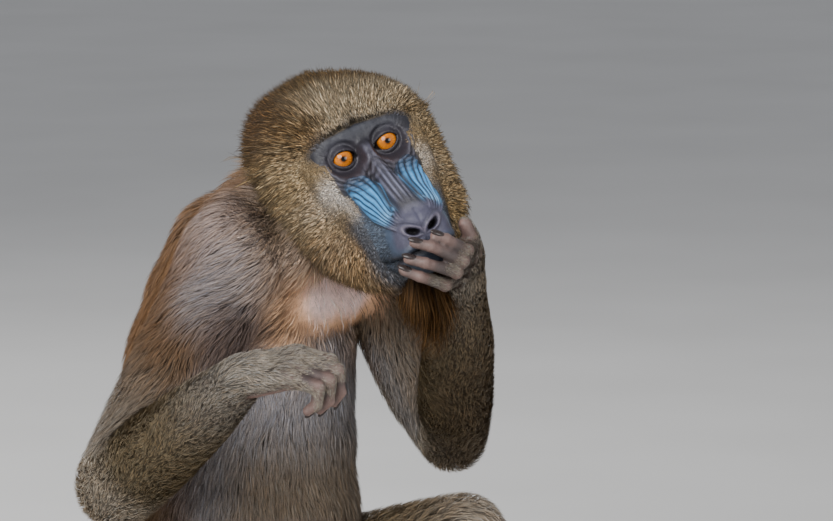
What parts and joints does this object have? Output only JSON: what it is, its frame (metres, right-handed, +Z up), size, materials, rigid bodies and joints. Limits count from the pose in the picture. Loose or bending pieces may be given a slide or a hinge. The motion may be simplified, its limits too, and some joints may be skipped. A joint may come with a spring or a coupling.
{
  "type": "mandrill model",
  "caption": "Life-size still model of a female mandrill sitting upright, one hand held over the mouth and the other held out loosely closed",
  "frame": {"origin": "on the floor under the rump, at the middle of the flat she sits on", "axes": "+Z up, -Y the way the body faces, +X her left; metres"},
  "size_m": [0.3177, 0.5529, 0.5212],
  "materials": {
    "coat": "matte",
    "skin": "satin",
    "hand_skin": "satin",
    "eye": "gloss"
  },
  "bodies": {
    "root": {"head": "coat", "neck": "coat", "torso": "coat", "tail": "coat", "ear_left": "skin", "eye_left": "eye", "upper_arm_left": "coat", "forearm_left": "coat", "hand_left": "hand_skin", "thigh_left": "coat", "shin_left": "coat", "foot_left": "hand_skin", "ear_right": "skin", "eye_right": "eye", "upper_arm_right": "coat", "forearm_right": "coat", "hand_right": "hand_skin", "thigh_right": "coat", "shin_right": "coat", "foot_right": "hand_skin"}
  },
  "joints": []
}
